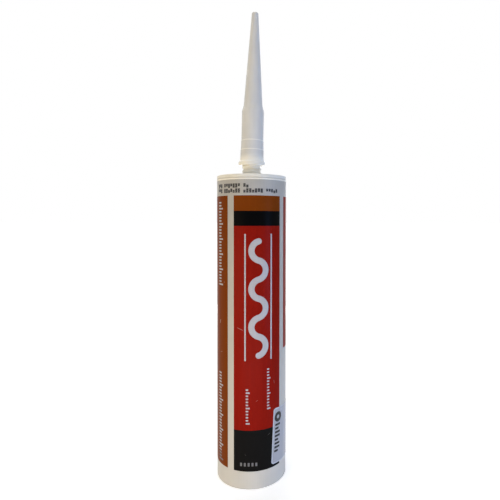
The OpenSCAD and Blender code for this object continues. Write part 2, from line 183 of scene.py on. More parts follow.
class CartridgeNozzle(bpy.types.PropertyGroup):
    """Sizes of the nozzle."""

    lean: turn("Lean", "Lean of the nozzle on its loose thread", 1.2)
    mouth: length("Mouth height", "Height of the nozzle's mouth", 223)
    reach: length("Length", "Length of the nozzle", 110.2)
    flange_diameter: length("Flange diameter", "Diameter of the flange", 19.4)
    flange_height: length("Flange height", "Thickness of the flange", 3.3)
    flange_round: length("Flange rounding", "Rounding of the flange", 1.1)
    flange_slope: length("Flange slope", "Height of the slope on top of the flange", 0.9)
    socket_foot: length("Socket foot", "Diameter of the socket above the flange", 17.6)
    socket_diameter: length("Socket diameter", "Diameter of the socket", 15.9)
    socket_height: length("Socket height", "Height of the socket", 39.2)
    taper: length("Taper", "How far the socket draws in above its foot", 0.35)
    taper_height: length("Taper height", "Height at which it has drawn in", 6.84)
    step_low: length("Low step", "Height of the first ring step", 11.4)
    step_high: length("High step", "Height of the second ring step", 18)
    step_size: length("Step size", "Width and height of each ring step", 0.15)
    shoulder_height: length("Shoulder height", "Height of the shoulder", 4.2)
    shoulder_round: length("Shoulder rounding", "Rounding of the shoulder's two bends", 3)
    cone_diameter: length("Cone diameter", "Diameter of the cone above the shoulder", 13.6)
    tip_diameter: length("Tip diameter", "Diameter of the cone's tip", 4.6)
    tip_round: length("Tip rounding", "Rounding of the tip", 1.1)
    bore: length("Bore", "Diameter of the socket's bore", 14.5)
    bore_depth: length("Bore depth", "Depth of the socket's bore", 20)
    wall: length("Wall", "Wall of the nozzle above its bore", 1.1)
    tip_wall: length("Tip wall", "Thickness of the closed tip", 2.5)
    mouth_bevel: length("Mouth bevel", "Bevel at the mouth of the bore", 0.5)
    thread_height: length("Inner thread", "Height of the thread inside the socket", 0.2)
    thread_pitch: length("Inner pitch", "Pitch of that thread", 3)
    thread_ridges: count("Inner ridges", "Number of ridges that stand for that thread", 5)
    smoothness: count("Segments", "Segments round the nozzle", 160)


class CartridgePrint(bpy.types.PropertyGroup):
    """Sizes of the print and the sticker."""

    ink: length("Ink", "Thickness of the printed fields", 0.08)
    over_ink: length("Over ink", "Thickness of what is printed over them", 0.05)
    hair: length("Hair", "Gap between two layers", 0.005)
    panel_azimuth: turn("Panel azimuth", "Azimuth of the main panel's middle", 10.7)
    panel_angle: turn("Panel angle", "Angle that each panel covers", 80)
    blank_angle: turn("Blank angle", "Angle of the blank strips between panels", 12)
    foot: length("Foot", "Height of the panels' foot", 12.5)
    top: length("Top", "Height of the panels' head", 200.35)
    brown_height: length("Brown band", "Height of the brown band", 10.4)
    black_height: length("Black band", "Height of the black band under it", 10.1)
    red_foot: length("Red foot", "Height of the red field's foot", 40.7)
    side_foot: length("Side foot", "Height of the side panel's foot", 93)
    stripe_width: length("Stripe width", "Width of a pinstripe", 1.05)
    stripe_angle: turn("Stripe angle", "Angle from the panel's middle to a pinstripe", 21.2)
    stripe_foot: length("Stripe foot", "Height of the pinstripes' foot", 88.4)
    stripe_gap: length("Stripe gap", "Gap between the pinstripes and the black band", 5.4)
    bead_width: length("Bead width", "Width of the wavy bead", 4.2)
    bead_radius: length("Bead radius", "Radius of the bead's bends", 6.7)
    bead_angle: turn("Bead angle", "Half the angle of each bend", 75)
    bead_bends: count("Bead bends", "Number of bends", 6)
    bead_rise: length("Bead rise", "Height of the bead's end above the pinstripes' foot", 3.4)
    mark_pitch: length("Mark pitch", "Pitch of the scale marks", 2.1)
    mark_height: length("Mark height", "Height of one scale mark", 1)
    mark_length: length("Mark length", "Length of a mark on the main panel", 2.6)
    side_mark_length: length("Side mark length", "Length of a mark on the brown panel", 5.2)
    short_mark: share("Short mark", "Length of a short mark as a share of a long one", 0.62)
    long_every: count("Long every", "One mark of this many is a long one", 5)
    left_marks: count("Left marks", "Number of marks in the main panel's left row", 12)
    right_marks: count("Right marks", "Number of marks in its right row", 14)
    row_angle: turn("Row angle", "Angle from the main panel's middle to its rows", 17)
    left_row_rise: length("Left row rise", "Height of the left row above the red field's foot", 4.3)
    right_row_rise: length("Right row rise", "Height of the right row above it", 13.3)
    upper_marks: count("Upper marks", "Number of marks in the brown panel's upper row", 28)
    lower_marks: count("Lower marks", "Number of marks in its lower row", 30)
    side_row_angle: turn("Side row angle", "Angle from the brown panel's edge to its rows", 17.5)
    side_row_margin: length("Side row margin", "Distance of those rows from the panel's ends", 3)
    dash_count: count("Dashes", "Number of dashes at the black foot", 5)
    dash_angle: turn("Dash angle", "Width of one dash", 3)
    dash_pitch: turn("Dash pitch", "Pitch of the dashes", 6)
    dash_height: length("Dash height", "Height of one dash", 2.4)
    dash_rise: length("Dash rise", "Height of the dashes above the panel's foot", 3.6)
    dash_margin: turn("Dash margin", "Angle from the panel's edge to the first dash", 11)
    code_azimuth: turn("Code azimuth", "Azimuth at which the date code starts", -67)
    code_rise: length("Code rise", "Height of the code's lower row above the panels", 1.8)
    code_row_pitch: length("Code row pitch", "Pitch of the code's two rows", 3.4)
    code_pitch: length("Code pitch", "Pitch of the blocks along a row", 1.95)
    code_width: length("Code width", "Width of one block", 1.5)
    code_height: length("Code height", "Height of a full block", 2.9)
    dot_diameter: length("Dot", "Diameter of one ink dot", 0.5)
    sticker_width: length("Sticker width", "Width of the sticker", 27)
    sticker_length: length("Sticker length", "Length of the sticker", 38.6)
    sticker_film: length("Sticker film", "Thickness of the sticker", 0.07)
    sticker_round: length("Sticker corners", "Rounding of the sticker's corners", 2)
    # Width of the painted highlight: a paler band along the sticker's cut edge
    sticker_edge_highlight: length("Sticker border", "Width of the paler border along the sticker's edge", 0.8)
    sticker_azimuth: turn("Sticker azimuth", "Azimuth of the sticker's middle", 66)
    sticker_height: length("Sticker height", "Height of the sticker's middle", 33)
    sticker_turn: turn("Sticker turn", "How far the sticker is stuck out of square", 3)
    mark_column: length("Mark column", "Distance of the sticker's marks from its middle", 8.9)
    disc_diameter: length("Disc", "Diameter of the sticker's disc", 7)
    disc_hole: length("Disc hole", "Diameter of the hole in the disc", 2.6)
    disc_margin: length("Disc margin", "Distance of the disc from the sticker's edge", 3)
    bar_length: length("Bar length", "Length of the sticker's bars", 5.2)
    bar_height: length("Bar height", "Height of one bar", 1.5)
    bar_pitch: length("Bar pitch", "Pitch of the bars", 2.6)
    bar_count: count("Bars", "Number of bars", 8)
    short_bar: share("Short bar", "Length of a short bar as a share of a long one", 0.7)


class CartridgeColours(bpy.types.PropertyGroup):
    """Colours of the plastics, the inks and the room."""

    tube: colour("Tube", "Extruded tube", "#b7b4af")
    head: colour("Head", "Moulded head", "#f3efe4")
    nozzle: colour("Nozzle", "Nozzle", "#d4d3d1")
    # Painted light: a lighter copy of the nozzle's colour, given to its flange and to the painted highlights
    # on its ring steps
    flange: colour("Flange", "The nozzle's thick foot", "#fbf8ef")
    piston: colour("Piston", "Piston", "#c9c7c0")
    adhesive: colour("Adhesive", "Adhesive paste", "#d0bd98")
    brown: colour("Brown", "Brown ink", "#75370b")
    black: colour("Black", "Black ink", "#030304")
    red: colour("Red", "Red ink", "#86170d")
    white: colour("White", "White ink over the colours", "#aeadb2")
    code: colour("Code", "Ink of the date code", "#25262c")
    sticker: colour("Sticker", "Sticker film", "#9da0aa")
    marks: colour("Marks", "Ink on the sticker", "#141519")
    floor: colour("Floor", "Floor under the cartridge", "#f7f7f7")
    warm: colour("Warm lamp", "Light from the left", "#ffe3ac")
    cool: colour("Cool lamp", "Light from the right", "#84b6ff")


class CartridgeStage(bpy.types.PropertyGroup):
    """The studio's lamps and camera."""

    left_power: power("Left lamp", "Power of the warm lamp on the left", 1.35)
    right_power: power("Right lamp", "Power of the cool lamp on the right", 1.15)
    front_power: power("Front lamp", "Power of the narrow lamp in front", 0.41)
    back_power: power("Back lamp", "Power of the lamp behind", 1.35)
    top_power: power("Top lamps", "Power of each lamp over the cartridge", 1.3)
    room: share("Room", "Strength of the light that comes from all round", 0.28)
    camera_height: length("Camera height", "Height of the camera", 183.64)
    camera_distance: length("Camera distance", "Distance of the camera in front of the tube's axis", 313.06)
    camera_yaw: turn("Camera yaw", "Turn of the camera to the right", 4.854)
    camera_pitch: turn("Camera pitch", "Tilt of the camera downwards", 1.423)
    camera_roll: turn("Camera roll", "Turn of the camera about its view", -0.149)
    focal: length("Focal length", "Focal length on a 36 mm sensor", 30.8)
    shift_x: FloatProperty(name="Shift X", description="Sideways shift of the picture", default=-0.0763)
    shift_y: FloatProperty(name="Shift Y", description="Upward shift of the picture", default=-0.0381)


# Shader maths

class Field:
    """A number over a surface. Arithmetic on it adds the Math nodes that work it out."""

    def __init__(self, nodes, socket):
        self.nodes = nodes
        self.socket = socket

    def math(self, operation, *values):
        return self.nodes.node("ShaderNodeMath", {"operation": operation}, dict(enumerate(values)))

    def __add__(self, other):
        return self.math("ADD", self, other)

    def __radd__(self, other):
        return self.math("ADD", other, self)

    def __sub__(self, other):
        return self.math("SUBTRACT", self, other)

    def __rsub__(self, other):
        return self.math("SUBTRACT", other, self)

    def __mul__(self, other):
        return self.math("MULTIPLY", self, other)

    def __rmul__(self, other):
        return self.math("MULTIPLY", other, self)

    def __abs__(self):
        return self.math("ABSOLUTE", self)

    def most(self, other):
        return self.math("MAXIMUM", self, other)

    def ramp(self, low, high, to_low=0.0, to_high=1.0):
        """Rises smoothly from one number to another while this one goes from low to high."""
        return self.nodes.node("ShaderNodeMapRange", {"interpolation_type": "SMOOTHSTEP"},
                               {"Value": self, "From Min": low, "From Max": high, "To Min": to_low,
                                "To Max": to_high})


class Nodes:
    """A tree of shader nodes and the shader that it feeds."""

    def __init__(self, owner, shader):
        owner.use_nodes = True
        self.tree = owner.node_tree
        self.shader = self.tree.nodes[shader]

    def node(self, kind, settings, values, output=0):
        """Adds a node, gives it its settings first and then its values or links."""
        made = self.tree.nodes.new(kind)
        for name, value in settings.items():
            setattr(made, name, value)
        for key, value in values.items():
            if isinstance(value, Field):
                self.tree.links.new(value.socket, made.inputs[key])
            else:
                made.inputs[key].default_value = value
        return Field(self, made.outputs[output])

    def keep(self, socket, value):
        """Gives the shader a constant."""
        self.shader.inputs[socket].default_value = value

    def feed(self, socket, value):
        """Gives the shader what changes over a surface."""
        self.tree.links.new(value.socket, self.shader.inputs[socket])

    def seen(self):
        """One for what the camera, gloss and clear things see, and nought for what lights the object."""
        camera, gloss, clear = (self.node("ShaderNodeLightPath", {}, {}, "Is " + kind + " Ray")
                                for kind in ("Camera", "Glossy", "Transmission"))
        return camera.most(gloss).most(clear)


class Paint(Nodes):
    """A finish being made: one Principled shader and the nodes that feed it."""

    def __init__(self, name, specular):
        self.material = bpy.data.materials.new(name)
        super().__init__(self.material, "Principled BSDF")
        self.keep("Specular IOR Level", specular)
        self.place = self.node("ShaderNodeTexCoord", {}, {}, "Object")
        self.x, self.y, self.z = (self.node("ShaderNodeSeparateXYZ", {}, {0: self.place}, axis)
                                  for axis in range(3))

    def grain(self, across, along, detail=2.0):
        """Noise about nought, with its grains this long across and along the tube."""
        scale = (1 / across, 1 / across, 1 / along)
        stretched = self.node("ShaderNodeMapping", {}, {"Vector": self.place, "Scale": scale})
        noise = {"Vector": stretched, "Scale": 1.0, "Detail": detail}
        return self.node("ShaderNodeTexNoise", {}, noise) - 0.5

    def specks(self, pitch, size, part):
        """A mask of small specks, on a share of the cells of a loose grid."""
        cells = {"Vector": self.place, "Scale": 1 / pitch}
        far = self.node("ShaderNodeTexVoronoi", {}, cells, "Distance")
        pick = self.node("ShaderNodeTexVoronoi", {}, cells, "Color")
        chosen = self.node("ShaderNodeSeparateColor", {}, {0: pick})
        return far.ramp(size / pitch, size / pitch * 0.4) * chosen.ramp(part, part * 0.8)

    def azimuth(self):
        """The azimuth round the tube, from the front towards the right, in radians."""
        return self.x.math("ARCTAN2", self.x, self.y * -1.0)

    def scratch(self, azimuth, height, reach, lean, width):
        """A mask of one fine scratch on the tube: its middle, half length, lean and half width."""
        along = (self.azimuth() - azimuth) * TUBE_HIGH.x
        up = self.z - height
        run = along * math.cos(lean) + up * math.sin(lean)
        off = abs(up * math.cos(lean) - along * math.sin(lean))
        return off.ramp(width, width * 0.3) * abs(run).ramp(reach, reach * 0.6)

    def mix(self, part, first, second):
        """One colour turning into another as a field goes from nought to one."""
        # The node's factor and its two colours go by number, as several of its sockets share a name
        colours = {0: part, 6: solid(first), 7: solid(second)}
        return self.node("ShaderNodeMix", {"data_type": "RGBA"}, colours, 2)

    def tones(self, part, colour, dark, light):
        """A darker tone of a colour turning into a lighter one."""
        return self.mix(part, shade(colour, dark), shade(colour, light))

    def finish(self, tone, roughness, relief, depth):
        """Feeds the shader, with a relief this deep, and gives the material."""
        self.feed("Base Color", tone)
        self.feed("Roughness", roughness)
        self.feed("Normal", self.node("ShaderNodeBump", {}, {"Height": relief, "Distance": depth}))
        return self.material


def solid(value):
    """A colour as a shader takes it."""
    return value if isinstance(value, Field) else (*value[:3], 1.0)


def shade(value, factor):
    """A darker or lighter tone of a colour."""
    return tuple(min(1.0, c * factor) for c in value[:3])


# Finishes

def tube_plastic(colours):
    """Extruded polyethylene: satin, with painted light that makes it greyer at the top and lighter towards
    the foot, fine lines drawn along it and a little dust.
    """
    paint = Paint("tube_plastic", 0.4)
    lines = paint.grain(0.35 * MM, 60 * MM, 3)
    cloud = paint.grain(14 * MM, 40 * MM)
    dust = paint.specks(5 * MM, 0.22 * MM, 0.16) * 0.45
    # Painted light: the tone is darker at the top of the tube and lighter towards its foot
    down = 1 - paint.z * (1 / TUBE_HIGH.z)
    painted_foot_light = 0.15 + down * down * 0.7
    tone = paint.tones(painted_foot_light + lines * 0.3 + cloud * 0.4, colours.tube, 0.8, 1.3)
    relief = lines * 0.6 + paint.grain(3 * MM, 9 * MM) * 0.8
    return paint.finish(paint.mix(dust, tone, shade(colours.tube, 0.35)), 0.42 + cloud * 0.18 + lines * 0.1,
                        relief, 0.02 * MM)


def head_plastic(colours):
    """Moulded polyethylene, smoother than the tube, with a little dust, painted shade in the rim's groove and
    on its upper wall, and painted light that makes the neck lighter.
    """
    paint = Paint("head_plastic", 0.42)
    cloud = paint.grain(6 * MM, 6 * MM, 3)
    dust = paint.specks(4 * MM, 0.18 * MM, 0.12) * 0.4
    tone = paint.tones(cloud.ramp(-0.35, 0.35), colours.head, 0.94, 1.04)
    # Painted light: the neck is given a lighter tone of the head's colour
    neck = paint.z.ramp(HEAD_HIGH.z - 17 * MM, HEAD_HIGH.z - 14 * MM)
    tone = paint.mix(neck, tone, shade(colours.head, 1.1))
    # Painted shade: a dark line in the groove between the lip and the rim's upper part, and a darker band on
    # that receding upper wall
    groove = TUBE_HIGH.z + 0.85 * MM
    up = paint.z - groove
    groove_painted_shade = abs(up).ramp(0.45 * MM, 0.2 * MM) * 0.45
    wall = up.ramp(0.2 * MM, 0.5 * MM) * up.ramp(2.3 * MM, 1.9 * MM) * 0.2
    tone = paint.mix(dust.most(groove_painted_shade).most(wall), tone, shade(colours.head, 0.4))
    return paint.finish(tone, 0.4 + cloud * 0.16, paint.grain(0.8 * MM, 0.8 * MM, 4), 0.015 * MM)


def nozzle_plastic(colours, sizes):
    """Soft, waxy polyethylene with a mould line down each side, faint flow marks, painted light that makes
    the flange lighter, and painted highlights along the ring steps.
    """
    paint = Paint("nozzle_plastic", 0.5)
    flow = paint.grain(2.2 * MM, 30 * MM, 3)
    cloud = paint.grain(9 * MM, 16 * MM)
    dust = paint.specks(5 * MM, 0.16 * MM, 0.14) * 0.35
    line = abs(paint.y).ramp(0.16 * MM, 0.05 * MM)
    tone = paint.tones((flow * 0.5 + cloud + 0.5).ramp(0.1, 0.9), colours.nozzle, 0.94, 1.05)
    # Painted light: the flange, up to a few millimetres above the mouth, takes the lighter flange colour
    socket = paint.z.ramp(NOZZLE_LOW.z + 4 * MM, NOZZLE_LOW.z + 9 * MM)
    tone = paint.mix(socket, colours.flange, tone)
    # Painted highlights: a paler line along each ring step, in the flange's lighter colour
    for step in (sizes.step_low, sizes.step_high):
        ring = abs(paint.z + paint.x * math.sin(sizes.lean) - (sizes.mouth + step)).ramp(0.45 * MM, 0.15 * MM)
        tone = paint.mix(ring * 0.6, tone, colours.flange)
    tone = paint.mix(dust + line * 0.12, tone, shade(colours.nozzle, 0.45))
    relief = line * 0.8 + flow * 0.5 + paint.grain(0.7 * MM, 0.7 * MM, 3) * 0.4
    return paint.finish(tone, 0.24 + cloud * 0.12 + flow * 0.08, relief, 0.03 * MM)


def piston_plastic(colours):
    """The piston's plain moulded plastic."""
    paint = Paint("piston_plastic", 0.4)
    cloud = paint.grain(5 * MM, 5 * MM, 3)
    tone = paint.tones(cloud.ramp(-0.35, 0.35), colours.piston, 0.93, 1.04)
    return paint.finish(tone, 0.46 + cloud * 0.16, paint.grain(0.9 * MM, 0.9 * MM, 4), 0.02 * MM)


def adhesive_paste(colours):
    """Smooth, slightly glossy paste with filler grains."""
    paint = Paint("adhesive", 0.5)
    grains = paint.grain(0.5 * MM, 0.5 * MM, 4)
    folds = paint.grain(7 * MM, 4 * MM, 3)
    tone = paint.tones((grains + folds + 0.5).ramp(0.1, 0.9), colours.adhesive, 0.86, 1.08)
    return paint.finish(tone, 0.36 + folds * 0.2, folds + grains * 0.3, 0.25 * MM)


# The pale plastic that shows where ink is worn
BARE = (0.62, 0.58, 0.54)

# Scratches and scuffs in degrees and millimetres: azimuth, height, half length, lean, half width, strength
BROWN_WEAR = [(-61, 113, 1.8, 70, 0.35, 0.5), (-57, 92, 1.1, 20, 0.2, 0.35), (-49, 141, 0.8, -60, 0.18, 0.35)]
RED_WEAR = [(-18.5, 110, 2.6, -22, 0.22, 0.3), (8, 61, 0.9, 40, 0.16, 0.25), (38, 72, 1.4, -75, 0.16, 0.25)]
BLACK_WEAR = [(28, 36.5, 1.3, 30, 0.16, 0.16), (-10, 24, 0.8, -50, 0.14, 0.14)]


def field_ink(name, tint, wear, gloss=0.022, lift=1.0, foot_reflection=0.0):
    """Screen printed ink: fine streaks along the tube, pinholes, specks, the wear that the part has, and a
    painted reflection that makes it paler towards the foot by a given share.
    """
    paint = Paint(name, gloss)
    lines = paint.grain(0.5 * MM, 50 * MM, 3)
    wide = paint.grain(3.5 * MM, 160 * MM)
    mottle = paint.grain(1.1 * MM, 1.1 * MM, 3)
    streaks = (lines * 0.5 + wide * 0.4 + mottle * 0.4 + 0.5).ramp(0.15, 0.85)
    pale = paint.specks(6 * MM, 0.2 * MM, 0.16) * 0.16 * lift
    for azimuth, height, reach, lean, width, depth in wear:
        mark = paint.scratch(math.radians(azimuth), height * MM, reach * MM, math.radians(lean), width * MM)
        pale = pale.most(mark * depth)
    # Painted reflection: the ink turns paler towards the tube's foot, by the given share
    painted_foot_reflection = paint.z.ramp(BLACK_HIGH.z * 0.8, BLACK_HIGH.z * 0.2) * foot_reflection
    tone = paint.mix(pale.most(painted_foot_reflection), paint.tones(streaks, tint, 0.91, 1.09), BARE)
    return paint.finish(tone, 0.32 + mottle * 0.12 + wide * 0.16, lines * 0.5 + mottle * 0.4, 0.012 * MM)


def plain_ink(name, tint, spread, thin=1.0):
    """Ink of a mark: nearly even, with a grainy edge to its tone, and thinner at the foot of the tube."""
    paint = Paint(name, 0.3)
    mottle = paint.grain(0.6 * MM, 0.6 * MM, 3)
    lines = paint.grain(0.5 * MM, 40 * MM)
    tone = paint.tones((mottle + lines * 0.6 + 0.5).ramp(0.2, 0.8), tint, 1 - spread, 1 + spread)
    foot = paint.z.ramp(24 * MM, 20 * MM)
    tone = paint.mix(foot, tone, shade(tint, thin))
    return paint.finish(tone, 0.42 + mottle * 0.14, mottle, 0.01 * MM)


def sticker_film(colours, sizes):
    """Glossy film with a painted highlight along its cut edge, as a paler band."""
    paint = Paint("sticker_film", 0.5)
    mottle = paint.grain(2.4 * MM, 2.4 * MM, 3)
    ripple = paint.grain(10 * MM, 16 * MM, 0)
    tone = paint.tones((mottle * 0.4 + ripple + 0.5).ramp(0.1, 0.9), colours.sticker, 0.97, 1.03)
    along = (paint.azimuth() - sizes.sticker_azimuth) * TUBE_HIGH.x
    up = paint.z - sizes.sticker_height
    tilt = sizes.sticker_turn
    across = abs(along * math.cos(tilt) - up * math.sin(tilt)) - sizes.sticker_width / 2
    upright = abs(along * math.sin(tilt) + up * math.cos(tilt)) - sizes.sticker_length / 2
    # Painted highlight: a paler band along the sticker's cut edge
    painted_edge_highlight = across.most(upright).ramp(-1.25 * sizes.sticker_edge_highlight, -0.75 * sizes.sticker_edge_highlight)
    tone = paint.mix(painted_edge_highlight, tone, shade(colours.sticker, 1.5))
    return paint.finish(tone, 0.26 + ripple * 0.08, mottle, 0.006 * MM)


# Modelling

def leave():
    """Goes from edit mode back to object mode."""
    bpy.ops.object.mode_set(mode="OBJECT")


def deselect():
    """Goes to object mode with nothing selected."""
    if bpy.context.mode != "OBJECT":
        leave()
    bpy.ops.object.select_all(action="DESELECT")


def activate(*pieces):
    """Selects these pieces alone, the first of them active."""
    deselect()
    for piece in pieces:
        piece.select_set(True)
    bpy.context.view_layer.objects.active = pieces[0]


def edit(mode="VERT"):
    """Goes to edit mode with all of the active piece selected."""
    bpy.ops.object.mode_set(mode="EDIT")
    bpy.ops.mesh.select_mode(type=mode)
    bpy.ops.mesh.select_all(action="SELECT")


def choose(piece, test):
    """Selects the active piece's vertices that pass a test, and what joins them, then goes to edit mode."""
    leave()
    mesh = piece.data
    for vertex in mesh.vertices:
        vertex.select = test(vertex)
    for part in (*mesh.edges, *mesh.polygons):
        part.select = all(mesh.vertices[i].select for i in part.vertices)
    bpy.ops.object.mode_set(mode="EDIT")


def named(name):
    """The active piece, under its name."""
    piece = bpy.context.view_layer.objects.active
    piece.name = name
    piece.data.name = name
    return piece


def rounded(corners, steps=5):
    """An outline through corners of x, z and radius, with an arc at each corner that has a radius."""
    points = []
    for before, corner, after in zip(corners[-1:] + corners, corners, corners[1:] + corners[:1]):
        at, radius = Vector(corner[:2]), corner[2]
        if not radius:
            points.append(at)
            continue
        back = (Vector(before[:2]) - at).normalized()
        ahead = (Vector(after[:2]) - at).normalized()
        half = back.angle(ahead) / 2
        centre = at + (back + ahead).normalized() * radius / math.sin(half)
        first = at + back * radius / math.tan(half) - centre
        last = at + ahead * radius / math.tan(half) - centre
        points += [centre + first.slerp(last, i / steps) * radius for i in range(steps + 1)]
    return points


def start_line(name, points):
    """Begins a piece as one line through points of x and z, and leaves it selected in edit mode."""
    deselect()
    bpy.ops.mesh.primitive_plane_add(size=MM)
    piece = named(name)
    edit()
    bpy.ops.mesh.merge(type="CENTER")
    bpy.ops.transform.translate(value=(points[0][0], 0, points[0][1]))
    for (x, z), (next_x, next_z) in zip(points, points[1:]):
        bpy.ops.mesh.extrude_vertices_move(TRANSFORM_OT_translate={"value": (next_x - x, 0, next_z - z)})
    bpy.ops.mesh.select_all(action="SELECT")
    return piece


def lathe(name, corners, steps):
    """Turns an outline of radius and height about Z into a closed shell."""
    outline = rounded(corners)
    if corners[0][0] > 0:
        outline.append(outline[0])
    piece = start_line(name, outline)
    bpy.ops.mesh.spin(steps=steps, angle=TURN, center=(0, 0, 0), axis=(0, 0, 1))
    close_up()
    return piece


def close_up():
    """Merges what coincides and points all faces outwards, from edit mode."""
    bpy.ops.mesh.select_all(action="SELECT")
    bpy.ops.mesh.remove_doubles(threshold=MERGE)
    bpy.ops.mesh.normals_make_consistent(inside=False)
    leave()


def apply(piece, kind, **settings):
    """Adds a modifier with its settings and applies it."""
    activate(piece)
    made = piece.modifiers.new(kind, kind)
    for name, value in settings.items():
        setattr(made, name, value)
    bpy.ops.object.modifier_apply(modifier=made.name)


def settle(piece):
    """Puts a piece's place, turn and scale into its mesh."""
    activate(piece)
    bpy.ops.object.transform_apply(location=True, rotation=True, scale=True)


def twin(piece, angle=0.0, lift=0.0):
    """A copy of a piece with its own mesh, turned about Z and raised."""
    made = piece.copy()
    made.data = piece.data.copy()
    bpy.context.scene.collection.objects.link(made)
    made.matrix_world = Matrix.Translation((0, 0, lift)) @ Matrix.Rotation(angle, 4, "Z") @ piece.matrix_world
    return made


def all_round(first, number):
    """A piece and its copies, evenly round the tube's axis."""
    return [first] + [twin(first, TURN * i / number) for i in range(1, number)]


def join(name, pieces):
    """Makes one piece of several."""
    activate(*pieces)
    if len(pieces) > 1:
        bpy.ops.object.join()
    piece = named(name)
    settle(piece)
    return piece


def smooth(piece):
    """Shades a piece smooth but for its sharper edges."""
    activate(piece)
    bpy.ops.object.shade_smooth_by_angle(angle=SHARP)


def dress(piece, body, material, nodes):
    """Gives a closed piece its finish, its body and the solids that it stands for."""
    sides = Counter(key for face in piece.data.polygons for key in face.edge_keys)
    if not sides or any(number != 2 for number in sides.values()):
        raise RuntimeError(piece.name + " is empty or has an open edge")
    piece.data.materials.clear()
    piece.data.materials.append(material)
    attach(piece, body)
    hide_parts(*nodes)


def thicken(piece, way, thickness):
    """Turns an open skin so that its first face looks this way, and gives it its thickness."""
    if piece.data.polygons[0].normal.dot(way) < 0:
        activate(piece)
        edit("FACE")
        bpy.ops.mesh.flip_normals()
        leave()
    apply(piece, "SOLIDIFY", thickness=thickness, offset=1.0)


def band(name, start, end, low, high, radius, thickness):
    """A thin skin on the tube, between two azimuths and two heights."""
    piece = start_line(name, [(radius, low), (radius, high)])
    steps = max(2, round((end - start) / BAND_STEP))
    bpy.ops.mesh.spin(steps=steps, angle=end - start, center=(0, 0, 0), axis=(0, 0, 1))
    leave()
    outward = piece.data.polygons[0].center.copy()
    outward.z = 0
    thicken(piece, outward, thickness)
    swept = max(math.atan2(v.co.y, v.co.x) for v in piece.data.vertices)
    piece.rotation_euler.z = end - math.pi / 2 - swept
    settle(piece)
    return piece


def wrap(piece, radius, azimuth):
    """Bends a flat piece in the XZ plane onto the tube: its x runs along the azimuth."""
    xs = [v.co.x for v in piece.data.vertices]
    middle, width = (max(xs) + min(xs)) / 2, max(xs) - min(xs)
    piece.location.x = -middle
    settle(piece)
    apply(piece, "SIMPLE_DEFORM", deform_method="BEND", deform_axis="Z", angle=width / radius)
    piece.location.y = -radius
    settle(piece)
    piece.rotation_euler.z = azimuth + middle / radius
    settle(piece)


def sheet(name, width, height, corner, steps, x=0.0, z=0.0):
    """A flat rectangle in the XZ plane that faces the front, with its corners rounded in steps."""
    deselect()
    bpy.ops.mesh.primitive_plane_add(size=1, rotation=(math.pi / 2, 0, 0), location=(x, 0, z))
    piece = named(name)
    piece.scale = (width, height, 1)
    settle(piece)
    edit()
    bpy.ops.mesh.bevel(offset=corner, segments=steps, affect="VERTICES")
    leave()
    return piece


def rib(start, end, width, low, high):
    """A box along X, between two distances from the tube's axis and two heights."""
    deselect()
    bpy.ops.mesh.primitive_cube_add(size=1, location=((start + end) / 2, 0, (low + high) / 2),
                                    scale=(end - start, width, high - low))
    piece = named("rib")
    settle(piece)
    return piece


def slice_across(low, high):
    """Cuts the active piece into upright strips, so that it bends smoothly, from edit mode."""
    for i in range(1, math.ceil((high - low) / STRIP)):
        bpy.ops.mesh.select_all(action="SELECT")
        bpy.ops.mesh.bisect(plane_co=(low + i * STRIP, 0, 0), plane_no=(1, 0, 0))
    bpy.ops.mesh.select_all(action="SELECT")


# Pieces

class CARTRIDGE_OT_tube(bpy.types.Operator):
    """Models the extruded tube"""

    bl_idname = "cartridge.tube"
    bl_label = "Tube"

    def execute(self, context):
        body = context.scene.cartridge_body
        outer = TUBE_HIGH.x
        inner = outer - body.wall
        corners = [(outer, TUBE_LOW.z, body.foot_round), (inner, TUBE_LOW.z, body.foot_round),
                   (inner, TUBE_HIGH.z, 0), (outer, TUBE_HIGH.z, 0)]
        piece = lathe("tube", corners, body.smoothness)
        smooth(piece)
        dress(piece, "cartridge", tube_plastic(context.scene.cartridge_colours),
              ["barrel_tube"])
        return {"FINISHED"}


